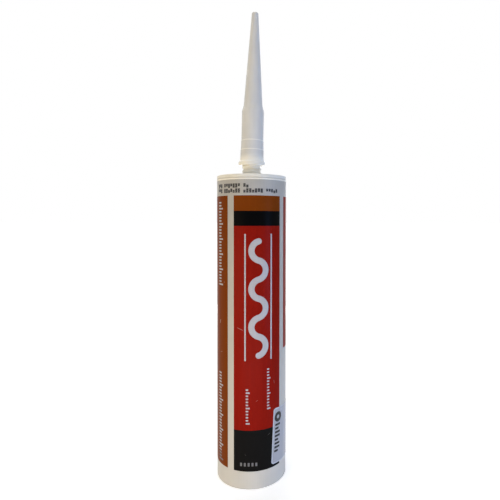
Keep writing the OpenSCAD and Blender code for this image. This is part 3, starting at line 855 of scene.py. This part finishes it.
class CARTRIDGE_OT_head(bpy.types.Operator):
    """Models the head with its rim, dish, ribs and threaded neck"""

    bl_idname = "cartridge.head"
    bl_label = "Head"

    # Segments in a turn of the thread, and the steps in which its ends turn on and shrink to the neck
    THREAD_STEPS = 64
    LEAD_STEP = math.radians(7)
    LEAD_SCALES = (0.8, 0.5, 0.15)

    def execute(self, context):
        body = context.scene.cartridge_body
        shell = self.shell(body)
        ribs = self.ribs(body)
        thread = self.thread(body)
        piece = join("head", [shell, *ribs, thread])
        smooth(piece)
        dress(piece, "cartridge", head_plastic(context.scene.cartridge_colours),
              ["cartridge_head"])
        return {"FINISHED"}

    def shell(self, body):
        """The head without its ribs and thread: its underside, the rim's edge, then the dish and the neck."""
        rim, seam = HEAD_HIGH.x, TUBE_HIGH.z
        top, lip = seam + body.rim_height, seam + body.lip_height - body.lip_lap
        neck, bore = body.neck_diameter / 2, body.neck_bore / 2
        spigot = TUBE_HIGH.x - body.wall - body.spigot_gap
        dish = top - body.dish_depth
        under = dish - body.head_wall
        upper = rim - body.lip_step
        groove = upper - body.groove
        ring = rim - body.rim_round - body.rim_width
        seal = HEAD_HIGH.z - body.seal_wall
        inside = [(0, seal, 0), (bore, seal, 0), (bore, under, 0), (spigot - body.spigot_wall, under, 0),
                  (spigot - body.spigot_wall, HEAD_LOW.z, 0), (spigot, HEAD_LOW.z, 0), (spigot, seam, 0),
                  (TUBE_HIGH.x, seam, 0), (TUBE_HIGH.x, seam - body.lip_lap, 0)]
        edge = [(rim, seam - body.lip_lap, body.lip_step / 2), (rim, lip, body.groove), (groove, lip, 0),
                (groove, lip + body.groove, 0), (upper, lip + body.groove, CRISP),
                (upper, top, body.rim_round)]
        bowl = [(ring, top, body.groove), (ring - body.dish_slope, dish, body.groove),
                (neck + body.boss_spread, dish, body.boss_round),
                (neck, dish + body.boss_height, body.boss_round), (neck, HEAD_HIGH.z, body.neck_bevel),
                (0, HEAD_HIGH.z, 0)]
        return lathe("head", inside + edge + bowl, body.smoothness)

    def ribs(self, body):
        """The dish's ribs: one box, bevelled along its top, and its copies round the neck."""
        start = body.neck_diameter / 2 + body.boss_spread / 2
        end = HEAD_HIGH.x - body.rim_round - body.rim_width - body.rib_gap
        top = TUBE_HIGH.z + body.rim_height
        low, high = top - body.dish_depth - SUNK, top - body.rib_drop
        first = rib(start, end, body.rib_width, low, high)
        choose(first, lambda v: v.co.z > high - NEAR)
        bpy.ops.mesh.bevel(offset=body.rib_bevel, segments=3)
        leave()
        first.rotation_euler.z = TURN / body.rib_count / 2
        settle(first)
        return all_round(first, body.rib_count)

    def thread(self, body):
        """A rounded thread screwed round the neck, with each end led into the neck."""
        neck, foot = body.neck_diameter / 2, body.thread_foot / 2
        crest, root = neck + body.thread_depth, neck - body.thread_root
        start = TUBE_HIGH.z + body.rim_height + body.thread_start + foot
        rise = HEAD_HIGH.z - body.neck_bevel - foot - start
        turns = rise / body.thread_pitch
        half = body.thread_crest / 2
        under = [(root, start - foot, 0), (neck, start - foot, 0), (crest, start - half, SOFT)]
        over = [(crest, start + half, SOFT), (neck, start + foot, 0), (root, start + foot, 0)]
        outline = rounded(under + over, 3)
        piece = start_line("thread", outline + outline[:1])
        bpy.ops.mesh.remove_doubles(threshold=MERGE)
        leave()
        steps = round(turns * self.THREAD_STEPS)
        apply(piece, "SCREW", axis="Z", angle=TURN * turns, screw_offset=rise, steps=steps,
              render_steps=steps)
        end = Matrix.Rotation(TURN * turns, 3, "Z") @ Vector((neck, 0, start + rise))
        self.lead(piece, len(outline), 0, Vector((neck, 0, start)), -self.LEAD_STEP)
        self.lead(piece, len(outline), steps, end, self.LEAD_STEP)
        activate(piece)
        edit()
        bpy.ops.mesh.fill_holes(sides=0)
        close_up()
        return piece

    def lead(self, piece, size, ring, centre, step):
        """Draws one end of the thread on in steps, down to the neck."""
        activate(piece)
        edit()
        choose(piece, lambda v: v.index // size == ring)
        for scale in self.LEAD_SCALES:
            bpy.ops.mesh.extrude_edges_move()
            bpy.ops.transform.rotate(value=-step, orient_axis="Z", center_override=(0, 0, 0))
            centre = Matrix.Rotation(step, 3, "Z") @ centre
            bpy.ops.transform.resize(value=(scale, scale, scale), center_override=centre)
        leave()


class CARTRIDGE_OT_nozzle(bpy.types.Operator):
    """Models the nozzle, leaning a little on the neck's thread"""

    bl_idname = "cartridge.nozzle"
    bl_label = "Nozzle"

    def execute(self, context):
        nozzle = context.scene.cartridge_nozzle
        piece = lathe("nozzle_shell", self.outside(nozzle) + self.inside(nozzle), nozzle.smoothness)
        smooth(piece)
        piece.rotation_euler.y = nozzle.lean
        piece.location.z = nozzle.mouth
        settle(piece)
        plastic = nozzle_plastic(context.scene.cartridge_colours, nozzle)
        dress(piece, "nozzle", plastic, ["nozzle"])
        return {"FINISHED"}

    def outside(self, nozzle):
        """The flange, the stepped socket, the shoulder and the cone, from the mouth to the tip."""
        flange, socket = nozzle.flange_diameter / 2, nozzle.socket_diameter / 2
        foot, step = nozzle.socket_foot / 2, nozzle.step_size
        slope = nozzle.flange_height - nozzle.flange_slope
        cone_foot = nozzle.socket_height + nozzle.shoulder_height
        return [(flange, 0, nozzle.flange_round), (flange, slope, nozzle.flange_round * 0.8),
                (foot, nozzle.flange_height, nozzle.flange_round / 2),
                (foot - nozzle.taper, nozzle.taper_height, nozzle.flange_round),
                (socket + 3 * step, nozzle.step_low, step / 2),
                (socket + 2 * step, nozzle.step_low + step, 0),
                (socket + step, nozzle.step_high, step / 2), (socket, nozzle.step_high + step, 0),
                (socket, nozzle.socket_height, nozzle.shoulder_round),
                (nozzle.cone_diameter / 2, cone_foot, nozzle.shoulder_round),
                (nozzle.tip_diameter / 2, nozzle.reach, nozzle.tip_round), (0, nozzle.reach, 0)]

    def inside(self, nozzle):
        """The bore, from the closed tip back down to the mouth, with its thread as a few low ridges."""
        bore, wall = nozzle.bore / 2, nozzle.wall
        socket = nozzle.socket_diameter / 2 - wall
        closed = nozzle.reach - nozzle.tip_wall
        cone_foot = nozzle.socket_height + nozzle.shoulder_height
        corners = [(0, closed, 0), (nozzle.tip_diameter / 2 - wall, closed, 0),
                   (nozzle.cone_diameter / 2 - wall, cone_foot, 0), (socket, nozzle.socket_height - wall, 0),
                   (socket, nozzle.bore_depth + wall, 0), (bore, nozzle.bore_depth, 0)]
        for i in range(nozzle.thread_ridges, 0, -1):
            ridge, reach = i * nozzle.thread_pitch, nozzle.thread_pitch / 3
            corners += [(bore, ridge + reach, 0), (bore - nozzle.thread_height, ridge, reach / 4),
                        (bore, ridge - reach, 0)]
        return corners + [(bore, nozzle.mouth_bevel, 0), (bore + nozzle.mouth_bevel, 0, 0)]


class CARTRIDGE_OT_piston(bpy.types.Operator):
    """Models the piston, a cup with two sealing lips and ribs"""

    bl_idname = "cartridge.piston"
    bl_label = "Piston"

    def execute(self, context):
        body = context.scene.cartridge_body
        lip = PISTON_HIGH.x
        low, high = PISTON_LOW.z, PISTON_HIGH.z
        waist = lip - body.piston_waist
        cup = waist - body.piston_wall
        under = high - body.piston_top
        bevel, lip_height = body.piston_bevel, body.piston_lip
        lower, upper = low + lip_height, high - lip_height - bevel
        corners = [(0, under, 0), (cup, under, 2 * SOFT), (cup, low, 2 * CRISP),
                   (lip - bevel / 2, low, 2 * CRISP), (lip, low + bevel, SOFT), (lip, lower, CRISP),
                   (waist, lower + body.piston_waist, SOFT), (waist, upper - body.piston_waist, SOFT),
                   (lip, upper, CRISP), (lip, high - bevel, SOFT), (lip - bevel, high, 5 * CRISP),
                   (0, high, 0)]
        cup_piece = lathe("piston_cup", corners, body.smoothness)
        piece = join("piston_cup", [cup_piece, *self.ribs(body, cup, under)])
        smooth(piece)
        dress(piece, "piston", piston_plastic(context.scene.cartridge_colours), ["piston"])
        return {"FINISHED"}

    def ribs(self, body, cup, under):
        """Ribs under the end wall and the ring that joins them."""
        hub, wall = body.hub_diameter / 2, body.piston_rib_width
        low, high = under - body.piston_rib_height, under + SUNK
        corners = [(hub, low, wall / 4), (hub, high, 0), (hub - wall, high, 0), (hub - wall, low, wall / 4)]
        ring = lathe("hub", corners, body.smoothness)
        first = rib(hub - wall / 2, cup + SOFT, wall, low, high)
        apply(first, "BEVEL", width=2 * CRISP, segments=2)
        return [ring, *all_round(first, body.piston_ribs)]


class CARTRIDGE_OT_adhesive(bpy.types.Operator):
    """Models the adhesive that fills the tube between the piston and the head"""

    bl_idname = "cartridge.adhesive"
    bl_label = "Adhesive"

    def execute(self, context):
        body = context.scene.cartridge_body
        gap = body.fill_gap
        wide = FILL_HIGH.x - gap
        spigot = TUBE_HIGH.x - body.wall - body.spigot_gap - body.spigot_wall - gap
        neck = body.neck_bore / 2 - gap
        under = TUBE_HIGH.z + body.rim_height - body.dish_depth - body.head_wall
        low, high = FILL_LOW.z + gap, FILL_HIGH.z - gap
        corners = [(0, low, 0), (wide, low, body.fill_round), (wide, HEAD_LOW.z - gap, 0),
                   (spigot, HEAD_LOW.z - gap, 0), (spigot, under - gap, 0), (neck, under - gap, 0),
                   (neck, high, 0), (0, high, 0)]
        piece = lathe("adhesive", corners, body.smoothness)
        smooth(piece)
        dress(piece, "cartridge", adhesive_paste(context.scene.cartridge_colours),
              ["adhesive_fill"])
        travel = next(j for j in frame["joints"] if j["name"] == "piston_slide")["range_m"][1]
        (under - FILL_LOW.z - travel) / (under - FILL_LOW.z)
        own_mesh(piece)
        return {"FINISHED"}


def panel_edges(sizes):
    """The azimuths at which the main, side and brown panels start and end."""
    half = sizes.panel_angle / 2
    main = (sizes.panel_azimuth - half, sizes.panel_azimuth + half)
    side = (main[1] + sizes.blank_angle, main[1] + sizes.blank_angle + sizes.panel_angle)
    brown = (main[0] - sizes.blank_angle - sizes.panel_angle, main[0] - sizes.blank_angle)
    return main, side, brown


def layer(sizes, number):
    """The radius at which a layer of print or film lies on the tube."""
    radius = TUBE_HIGH.x + sizes.hair
    for thickness in (sizes.ink, sizes.sticker_film)[:number]:
        radius += thickness + sizes.hair
    return radius


class CARTRIDGE_OT_fields(bpy.types.Operator):
    """Lays the brown, black and red fields on the tube"""

    bl_idname = "cartridge.fields"
    bl_label = "Colour fields"

    def execute(self, context):
        sizes = context.scene.cartridge_print
        colours = context.scene.cartridge_colours
        main, side, brown = panel_edges(sizes)
        brown_foot = sizes.top - sizes.brown_height
        black_foot = brown_foot - sizes.black_height
        ink = field_ink("brown_ink", colours.brown, BROWN_WEAR)
        fields = [(*brown, sizes.foot, sizes.top), (*main, brown_foot, sizes.top)]
        self.lay(sizes, "brown_print", fields, "brown_ink", ink, "print_brown")
        ink = field_ink("black_ink", colours.black, BLACK_WEAR, gloss=0.025, lift=0.3, foot_reflection=0.01)
        fields = [(*main, black_foot, brown_foot), (*main, sizes.foot, sizes.red_foot)]
        self.lay(sizes, "black_print", fields, "black_ink", ink, "print_black")
        ink = field_ink("red_ink", colours.red, RED_WEAR)
        fields = [(*main, sizes.red_foot, black_foot), (*side, sizes.side_foot, sizes.top)]
        self.lay(sizes, "red_print", fields, "red_ink", ink, "print_red")
        return {"FINISHED"}

    def lay(self, sizes, name, fields, slot, material, node):
        """Lays the fields of one ink on the tube, as one piece."""
        piece = join(name, [band(name, *field, layer(sizes, 0), sizes.ink) for field in fields])
        smooth(piece)
        dress(piece, "cartridge", material, [node])


class CARTRIDGE_OT_white_print(bpy.types.Operator):
    """Prints the beads, pinstripes, scale marks and dashes over the fields"""

    bl_idname = "cartridge.white_print"
    bl_label = "White print"

    def execute(self, context):
        sizes = context.scene.cartridge_print
        main, side, brown = panel_edges(sizes)
        bead = self.bead(sizes)
        pieces = [bead, twin(bead, (side[0] + side[1]) / 2 - sizes.panel_azimuth)]
        pieces += self.stripes(sizes)
        left, right = sizes.panel_azimuth - sizes.row_angle, sizes.panel_azimuth + sizes.row_angle
        side_row = brown[1] - sizes.side_row_angle
        upper = sizes.top - sizes.side_row_margin - sizes.upper_marks * sizes.mark_pitch
        for row in ((left, sizes.red_foot + sizes.left_row_rise, sizes.left_marks, sizes.mark_length),
                    (right, sizes.red_foot + sizes.right_row_rise, sizes.right_marks, sizes.mark_length),
                    (side_row, upper, sizes.upper_marks, sizes.side_mark_length),
                    (side_row, sizes.foot + sizes.side_row_margin, sizes.lower_marks,
                     sizes.side_mark_length)):
            pieces += self.marks(sizes, *row)
        low = sizes.foot + sizes.dash_rise
        for i in range(sizes.dash_count):
            start = main[0] + sizes.dash_margin + i * sizes.dash_pitch
            pieces.append(self.patch(sizes, start, start + sizes.dash_angle, low, low + sizes.dash_height))
        piece = join("white_print", pieces)
        smooth(piece)
        ink = plain_ink("white_ink", context.scene.cartridge_colours.white, spread=0.07, thin=0.35)
        dress(piece, "cartridge", ink, ["print_white"])
        return {"FINISHED"}

    def patch(self, sizes, start, end, low, high):
        """One white patch over the fields."""
        return band("mark", start, end, low, high, layer(sizes, 1), sizes.over_ink)

    def stripes(self, sizes):
        """The two pinstripes beside the bead."""
        reach = sizes.stripe_width / TUBE_HIGH.x / 2
        top = sizes.top - sizes.brown_height - sizes.black_height - sizes.stripe_gap
        middles = [sizes.panel_azimuth - sizes.stripe_angle, sizes.panel_azimuth + sizes.stripe_angle]
        return [self.patch(sizes, a - reach, a + reach, sizes.stripe_foot, top) for a in middles]

    def marks(self, sizes, azimuth, low, number, reach):
        """A row of scale marks up the tube: a long and a short one, and their copies."""
        width = reach / TUBE_HIGH.x
        start = azimuth - width / 2
        high = low + sizes.mark_height
        long_mark = self.patch(sizes, start, start + width, low, high)
        short_mark = self.patch(sizes, start, start + width * sizes.short_mark, low, high)
        row = [twin(short_mark if i % sizes.long_every else long_mark, 0, i * sizes.mark_pitch)
               for i in range(number)]
        bpy.data.objects.remove(long_mark)
        bpy.data.objects.remove(short_mark)
        return row

    def bead(self, sizes):
        """The wavy bead: a cross line swept round one bend after another, with half discs at its ends."""
        half, bend, angle = sizes.bead_width / 2, sizes.bead_radius, sizes.bead_angle
        chord = 2 * bend * math.sin(angle)
        centre_x = -bend * math.cos(angle)
        foot = sizes.stripe_foot + sizes.bead_rise
        slope = Vector((math.cos(angle), -math.sin(angle)))
        parts = [-half + half * i / 3 for i in range(7)]
        piece = start_line("bead", [(slope.x * p, foot + slope.y * p) for p in parts])
        self.round_end(piece, Vector((0, 0, foot)), slope, -1)
        for i in range(sizes.bead_bends):
            side = 1 if i % 2 == 0 else -1
            centre = (centre_x * side, 0, foot + (i + 0.5) * chord)
            bpy.ops.mesh.spin(steps=18, angle=2 * angle * side, center=centre, axis=(0, 1, 0))
        last_slope = slope if sizes.bead_bends % 2 == 0 else Vector((slope.x, -slope.y))
        self.round_end(piece, Vector((0, 0, foot + sizes.bead_bends * chord)), last_slope, 1)
        close_up()
        thicken(piece, FRONT, sizes.over_ink)
        wrap(piece, layer(sizes, 1), sizes.panel_azimuth)
        return piece

    def round_end(self, piece, centre, slope, side):
        """Spins half of the selected cross line into a half disc, then selects the cross line again."""
        leave()
        line = {v.index for v in piece.data.vertices if v.select}
        across = Vector((slope.x, 0, slope.y))
        choose(piece, lambda v: v.index in line and (v.co - centre).dot(across) > -NEAR)
        bpy.ops.mesh.spin(steps=14, angle=math.pi * side, center=centre, axis=(0, 1, 0))
        choose(piece, lambda v: v.index in line)


class CARTRIDGE_OT_date_code(bpy.types.Operator):
    """Sprays the date code: two rows of plain dotted blocks, which spell nothing"""

    bl_idname = "cartridge.date_code"
    bl_label = "Date code"

    # Dots across and up a block, and the first and last row of dots of each kind of block
    COLUMNS, ROWS = 4, 6
    KINDS = ((0, 6), (0, 4), (0, 6), (2, 6), (1, 6))
    # Blocks in the code's lower and upper row, and which one of a group is left out as a space
    BLOCKS = (25, 14)
    GROUP, SPACE = 8, 3
    # How thick a dot is as a share of the fields' ink, and how far it may stray up or down
    THICKNESS = 0.8
    STRAY = 0.04 * MM
    # Start of the draw of kinds and strays, so that it comes out the same each time
    SEED = 11

    def execute(self, context):
        sizes = context.scene.cartridge_print
        radius = layer(sizes, 0)
        chance = random.Random(self.SEED)
        deselect()
        bpy.ops.mesh.primitive_circle_add(vertices=7, radius=sizes.dot_diameter / 2, fill_type="NGON",
                                          rotation=(math.pi / 2, 0, 0), location=(0, -radius, 0))
        dot = named("dot")
        settle(dot)
        thickness = sizes.ink * self.THICKNESS
        edit("FACE")
        bpy.ops.mesh.extrude_region_move(TRANSFORM_OT_translate={"value": (0, -thickness, 0)})
        close_up()
        dots = []
        for row, number in enumerate(self.BLOCKS):
            for i in range(number):
                if i % self.GROUP != self.SPACE:
                    low = sizes.top + sizes.code_rise + row * sizes.code_row_pitch
                    azimuth = sizes.code_azimuth + i * sizes.code_pitch / radius
                    dots += self.block(sizes, dot, chance, azimuth, low)
        bpy.data.objects.remove(dot)
        piece = join("date_code_dots", dots)
        ink = plain_ink("code_ink", context.scene.cartridge_colours.code, spread=0.2)
        dress(piece, "cartridge", ink, ["date_code"])
        return {"FINISHED"}

    def block(self, sizes, dot, chance, azimuth, low):
        """One block: full rows of dots, from one height to another, each dot a little out of line."""
        made = []
        for row in range(*chance.choice(self.KINDS)):
            for column in range(self.COLUMNS):
                across = sizes.code_width * (column + 0.5) / self.COLUMNS / TUBE_HIGH.x
                up = sizes.code_height * (row + 0.5) / self.ROWS
                stray = chance.uniform(-self.STRAY, self.STRAY)
                made.append(twin(dot, azimuth + across, low + up + stray))
        return made


class CARTRIDGE_OT_sticker(bpy.types.Operator):
    """Sticks the side sticker on, with its disc and bars"""

    bl_idname = "cartridge.sticker"
    bl_label = "Sticker"

    def execute(self, context):
        sizes = context.scene.cartridge_print
        colours = context.scene.cartridge_colours
        film = sheet("sticker", sizes.sticker_width, sizes.sticker_length, sizes.sticker_round, 6)
        self.place(film, sizes, 1, sizes.sticker_film)
        dress(film, "cartridge", sticker_film(colours, sizes), ["side_sticker"])
        marks = self.marks(sizes)
        self.place(marks, sizes, 2, sizes.over_ink)
        ink = plain_ink("sticker_ink", colours.marks, spread=0.15)
        dress(marks, "cartridge", ink, ["sticker_marks"])
        return {"FINISHED"}

    def marks(self, sizes):
        """The disc with its hole, and the bars under it."""
        disc_height = sizes.sticker_length / 2 - sizes.disc_diameter / 2 - sizes.disc_margin
        disc = start_line("disc", [(sizes.disc_hole / 2, 0), (sizes.disc_diameter / 2, 0)])
        bpy.ops.mesh.spin(steps=48, angle=TURN, center=(0, 0, 0), axis=(0, 1, 0))
        close_up()
        disc.location = (-sizes.mark_column, 0, disc_height)
        settle(disc)
        pieces = [disc]
        for i in range(sizes.bar_count):
            reach = sizes.bar_length * (sizes.short_bar if i % 3 == 1 else 1)
            low = disc_height - sizes.disc_diameter / 2 - (i + 1) * sizes.bar_pitch
            place = (reach / 2 - sizes.bar_length / 2 - sizes.mark_column, low + sizes.bar_height / 2)
            pieces.append(sheet("bar", reach, sizes.bar_height, SOFT, 3, *place))
        return join("sticker_marks_print", pieces)

    def place(self, piece, sizes, number, thickness):
        """Turns a flat piece a little, cuts it into strips, thickens it and wraps it on the tube."""
        piece.rotation_euler.y = sizes.sticker_turn
        piece.location.z = sizes.sticker_height
        settle(piece)
        xs = [v.co.x for v in piece.data.vertices]
        edit("FACE")
        slice_across(min(xs), max(xs))
        bpy.ops.mesh.normals_make_consistent(inside=False)
        leave()
        thicken(piece, FRONT, thickness)
        wrap(piece, layer(sizes, number), sizes.sticker_azimuth)
        smooth(piece)


# The studio

class CARTRIDGE_OT_stage(bpy.types.Operator):
    """Sets up the floor, the lamps, the room's light and the camera"""

    bl_idname = "cartridge.stage"
    bl_label = "Stage"

    def execute(self, context):
        scene = context.scene
        stage, colours = scene.cartridge_stage, scene.cartridge_colours
        self.floor(colours)
        self.room(scene, stage)
        aim = Vector((0, 0, 0.15))
        low = Vector((0, 0, 0.06))
        white = (1, 1, 0.98)
        self.lamp("left_lamp", (-0.38, -0.36, 0.04), low, (0.3, 0.2), stage.left_power, colours.warm)
        self.lamp("right_lamp", (0.4, -0.3, 0.05), low, (0.07, 0.3), stage.right_power, colours.cool)
        self.lamp("front_lamp", (0, -0.26, 0), Vector((0, 0, 0.02)), (0.3, 0.02), stage.front_power, white)
        self.lamp("back_lamp", (0.1, 0.6, 0.12), aim, (0.4, 0.4), stage.back_power, white)
        self.lamp("top_lamp", (-0.04, -0.2, 0.85), aim, (0.35, 0.35), stage.top_power, white)
        self.lamp("rear_top_lamp", (-0.04, 0.1, 0.85), aim, (0.2, 0.2), stage.top_power, white)
        self.camera(scene, stage)
        if scene.camera is None:
            raise RuntimeError("The stage has no camera")
        scene.view_settings.view_transform = "Standard"
        return {"FINISHED"}

    def floor(self, colours):
        """A wide pale floor that shows white to the camera but for the cartridge's soft shadow."""
        deselect()
        bpy.ops.mesh.primitive_circle_add(vertices=96, radius=30, fill_type="NGON",
                                          location=(0, 0, -0.1 * MM))
        floor = named("floor")
        settle(floor)
        paint = Paint("floor", 0.0)
        paint.keep("Base Color", solid(colours.floor))
        paint.keep("Roughness", 0.9)
        paint.keep("Emission Strength", 1.0)
        away = paint.node("ShaderNodeVectorMath", {"operation": "LENGTH"}, {0: paint.place}, "Value")
        glow = paint.seen() * away.ramp(0.1, 1.2, 0.45, 0.86)
        paint.feed("Emission Color", paint.mix(glow, (0, 0, 0), (1, 1, 1)))
        floor.data.materials.append(paint.material)

    def room(self, scene, stage):
        """Even light from all round, which the camera, gloss and clear things see as white."""
        scene.world = bpy.data.worlds.new("room")
        room = Nodes(scene.world, "Background")
        room.keep("Color", (1, 1, 1, 1))
        room.feed("Strength", room.seen().ramp(0.0, 1.0, stage.room, 1.0))

    def lamp(self, name, place, aim, size, power, tint):
        """A large soft lamp, turned to what it lights."""
        deselect()
        bpy.ops.object.light_add(type="AREA", location=place)
        lamp = bpy.context.object
        lamp.name = name
        lamp.rotation_euler = (aim - Vector(place)).to_track_quat("-Z", "Y").to_euler()
        lamp.data.shape = "RECTANGLE"
        lamp.data.size, lamp.data.size_y = size
        lamp.data.energy = power
        lamp.data.color = tint[:3]
        lamp.visible_camera = False

    def camera(self, scene, stage):
        """The camera in front of the cartridge, turned, tilted and rolled a little."""
        deselect()
        bpy.ops.object.camera_add(location=(0, -stage.camera_distance, stage.camera_height))
        camera = bpy.context.object
        upright = Matrix.Rotation(math.pi / 2, 4, "X")
        turned = (Matrix.Rotation(-stage.camera_yaw, 4, "Z") @ Matrix.Rotation(-stage.camera_pitch, 4, "X")
                  @ upright @ Matrix.Rotation(-stage.camera_roll, 4, "Z"))
        camera.rotation_euler = turned.to_euler()
        camera.data.sensor_width = 36
        camera.data.lens = stage.focal / MM
        camera.data.shift_x = stage.shift_x
        camera.data.shift_y = stage.shift_y
        camera.data.clip_start = 0.01
        scene.camera = camera


class CARTRIDGE_PT_builder(bpy.types.Panel):
    """Lists the pieces of the cartridge and its stage"""

    bl_label = "Adhesive Cartridge"
    bl_idname = "CARTRIDGE_PT_builder"
    bl_space_type = "VIEW_3D"
    bl_region_type = "UI"
    bl_category = "Cartridge"

    def draw(self, context):
        for operator in OPERATORS:
            self.layout.operator(operator.bl_idname)
        for name in GROUPS:
            group = getattr(context.scene, name)
            box = self.layout.box()
            for prop in group.bl_rna.properties:
                if prop.identifier not in ("rna_type", "name"):
                    box.prop(group, prop.identifier)


OPERATORS = (CARTRIDGE_OT_tube, CARTRIDGE_OT_head, CARTRIDGE_OT_nozzle, CARTRIDGE_OT_piston,
             CARTRIDGE_OT_adhesive, CARTRIDGE_OT_fields, CARTRIDGE_OT_white_print, CARTRIDGE_OT_date_code,
             CARTRIDGE_OT_sticker, CARTRIDGE_OT_stage)
GROUPS = {"cartridge_body": CartridgeBody, "cartridge_nozzle": CartridgeNozzle,
          "cartridge_print": CartridgePrint, "cartridge_colours": CartridgeColours,
          "cartridge_stage": CartridgeStage}


def register():
    for cls in (*GROUPS.values(), *OPERATORS, CARTRIDGE_PT_builder):
        bpy.utils.register_class(cls)
    for name, group in GROUPS.items():
        setattr(bpy.types.Scene, name, PointerProperty(type=group))


def unregister():
    for name in GROUPS:
        delattr(bpy.types.Scene, name)
    for cls in reversed((*GROUPS.values(), *OPERATORS, CARTRIDGE_PT_builder)):
        bpy.utils.unregister_class(cls)


def main():
    """Builds the cartridge and its stage."""
    register()
    for operator in OPERATORS:
        group, name = operator.bl_idname.split(".")
        getattr(getattr(bpy.ops, group), name)()
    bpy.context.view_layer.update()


if __name__ == "__main__":
    main()
